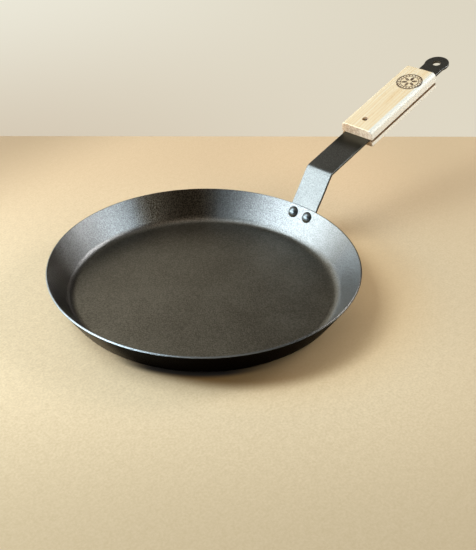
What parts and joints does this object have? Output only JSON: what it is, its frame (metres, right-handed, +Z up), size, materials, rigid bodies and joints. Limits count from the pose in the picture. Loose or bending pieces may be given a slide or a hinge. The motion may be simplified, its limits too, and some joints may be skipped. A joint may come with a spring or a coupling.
{
  "type": "crepe pan",
  "caption": "Shallow round crepe pan with a flat floor and a flared wall, a riveted flat-bar handle bent upwards, wooden grip scales and a hanging eye.",
  "frame": {"origin": "centre of the dish's flat underside", "axes": "+Z up out of the dish, +X from the dish's centre out along the handle"},
  "size_m": [0.5599, 0.3046, 0.1373],
  "materials": {
    "pan_steel": "dark speckled satin",
    "bar_steel": "dark satin",
    "rivet_steel": "satin",
    "grip_wood": "oiled, long straight grain",
    "screw_steel": "plated"
  },
  "bodies": {
    "root": {"pan_body": "pan_steel", "handle_bar": "bar_steel", "left_pan_rivet": "rivet_steel", "right_pan_rivet": "rivet_steel", "upper_grip_scale": "grip_wood", "lower_grip_scale": "grip_wood", "front_grip_screw": "screw_steel", "rear_grip_screw": "screw_steel"}
  },
  "joints": []
}
